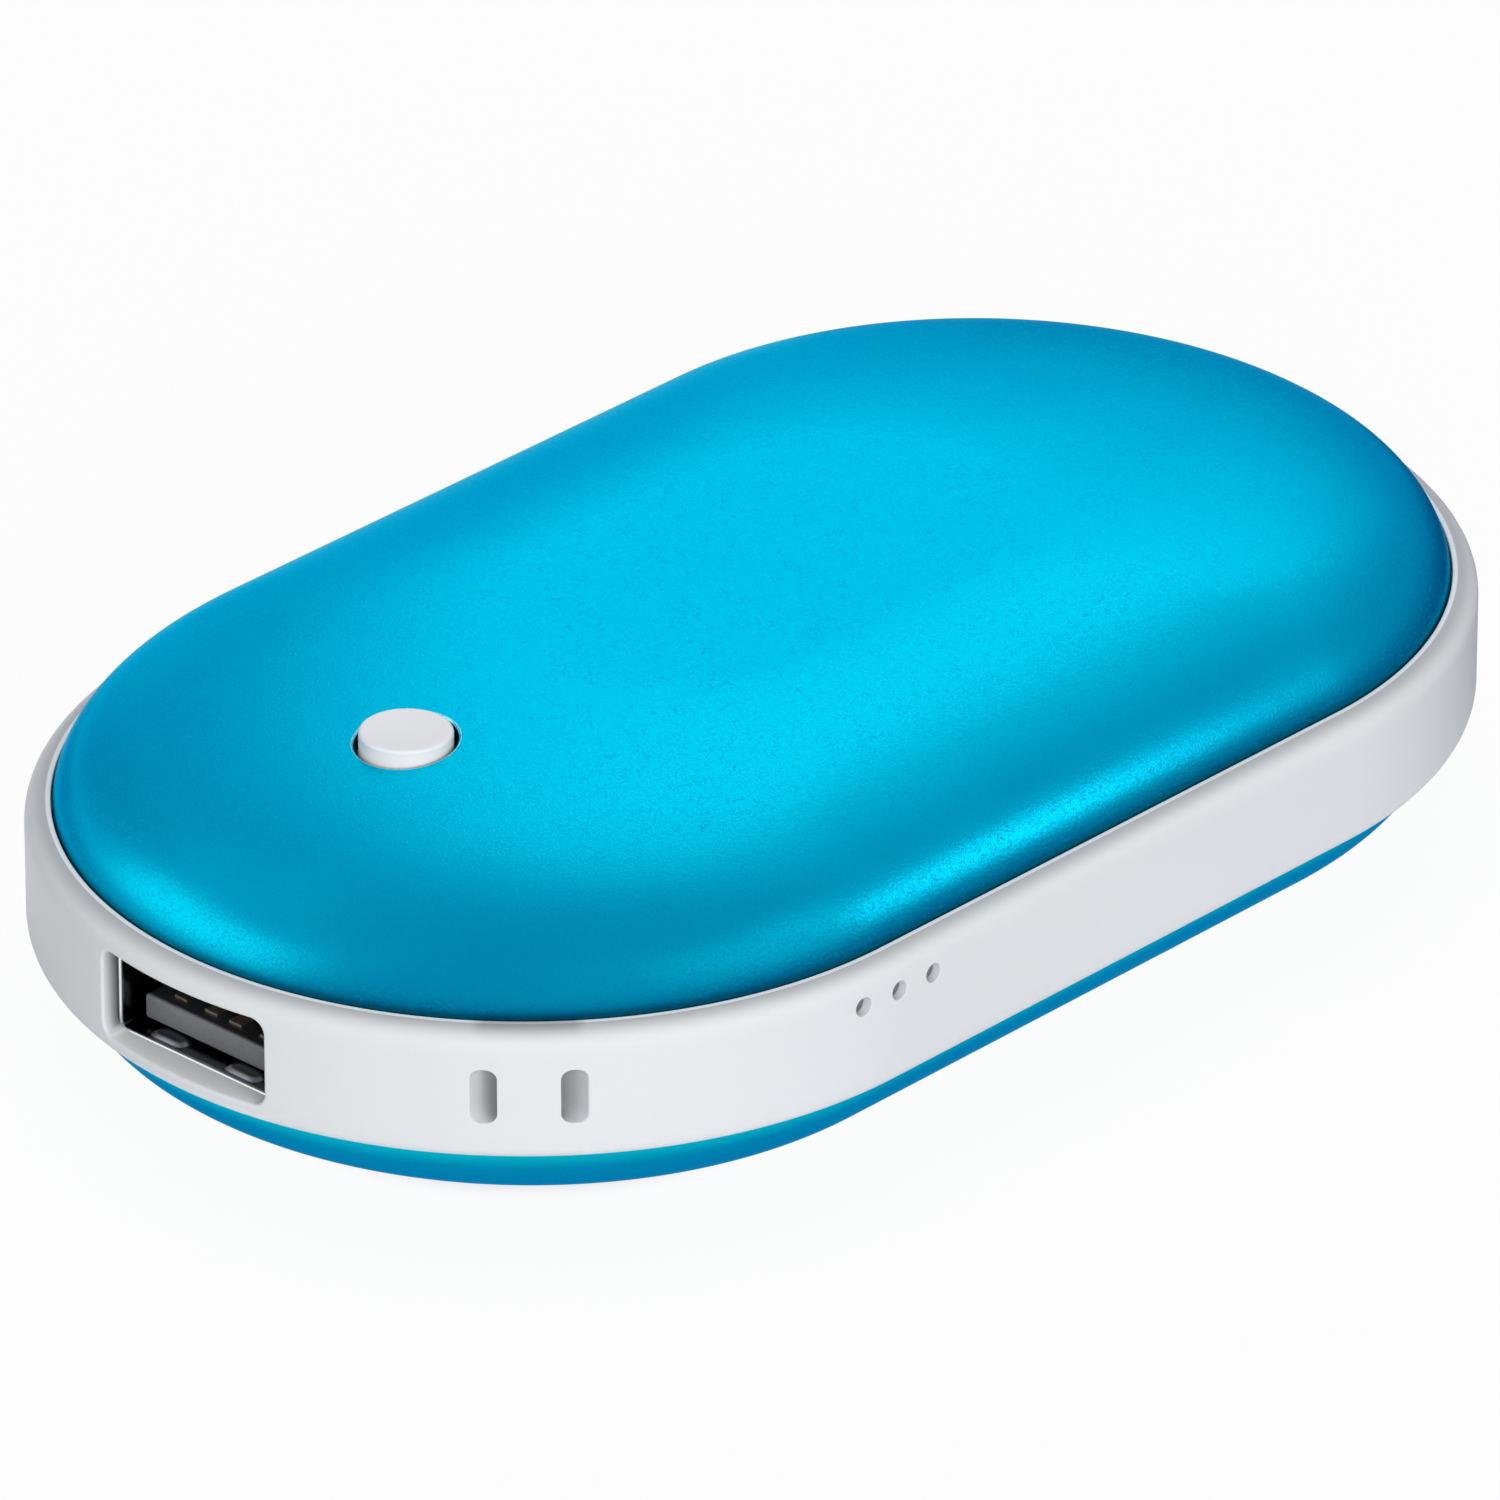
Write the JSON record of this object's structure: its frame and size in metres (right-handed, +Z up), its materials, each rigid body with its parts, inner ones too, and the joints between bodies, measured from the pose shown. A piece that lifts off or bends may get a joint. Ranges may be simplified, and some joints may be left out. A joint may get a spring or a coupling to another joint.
{
  "type": "rechargeable hand warmer",
  "caption": "Pocket pebble hand warmer: two domed aluminium covers on a pale plastic band with a USB power socket, a strap loop, status lamps and a push button.",
  "frame": {"origin": "centre of the flat resting crown of the bottom cover, which is the bottom centre of the box", "axes": "+X along the case, away from the USB socket; +Y across it, away from the lamps; +Z up through the button's cover"},
  "size_m": [0.1, 0.06, 0.025],
  "materials": {
    "anodised_blue": "satin bead blasted anodised",
    "band_white": "satin moulded",
    "button_white": "satin moulded",
    "chassis_grey": "moulded",
    "socket_steel": "nickel plated sheet",
    "screw_steel": "zinc plated",
    "cell_tab_nickel": "nickel strip",
    "contact_gold": "gold flashed",
    "insulator_grey": "moulded",
    "insulator_black": "moulded",
    "lamp_clear": "clear polished",
    "lamp_package": "moulded",
    "board_green": "solder mask",
    "ferrite": "sintered",
    "capacitor_tan": "fired",
    "chip_black": "moulded",
    "film_amber": "polyimide film",
    "foam_grey": "closed cell foam",
    "pouch_silver": "laminated pouch",
    "tape_white": "double sided tape",
    "glue_clear": "cured adhesive",
    "lead_red": "silicone sleeve",
    "sensor_bead": "epoxy bead"
  },
  "bodies": {
    "case": {"top_cover": "anodised_blue", "bottom_cover": "anodised_blue", "mid_band": "band_white", "top_adhesive": "glue_clear", "bottom_adhesive": "glue_clear", "chassis": "chassis_grey", "chassis_screws": "screw_steel", "top_heater": "film_amber", "bottom_heater": "film_amber", "top_insulation": "foam_grey", "bottom_insulation": "foam_grey", "upper_cell": "pouch_silver", "lower_cell": "pouch_silver", "upper_cell_tape": "tape_white", "lower_cell_tape": "tape_white", "upper_cell_tabs": "cell_tab_nickel", "lower_cell_tabs": "cell_tab_nickel", "main_board": "board_green", "board_screws": "screw_steel", "control_chip": "chip_black", "boost_coil": "ferrite", "capacitors": "capacitor_tan", "status_leds": "lamp_package", "light_guide": "lamp_clear", "usb_shell": "socket_steel", "usb_tongue": "insulator_grey", "usb_contacts": "contact_gold", "charge_shell": "socket_steel", "charge_tongue": "insulator_black", "button_guide": "chassis_grey", "switch_base": "insulator_black", "switch_plate": "socket_steel", "switch_dome": "socket_steel", "switch_leads": "cell_tab_nickel", "top_heater_leads": "lead_red", "bottom_heater_leads": "lead_red", "top_sensor": "sensor_bead", "bottom_sensor": "sensor_bead"},
    "button": {"power_button": "button_white"},
    "plunger": {"switch_plunger": "insulator_black"}
  },
  "joints": [
    {"name": "button_press", "type": "slide", "parent": "case", "child": "button", "axis": [0, 0, -1], "range_m": [0, 0.0003], "stiffness_N_per_m": 2000, "deforming": ["switch_dome"]},
    {"name": "plunger_press", "type": "slide", "parent": "case", "child": "plunger", "axis": [0, 0, -1], "range_m": [0, 0.0003], "deforming": ["switch_dome"]}
  ],
  "couplings": [
    {"joint": "plunger_press", "follows": "button_press", "ratio": 1}
  ]
}
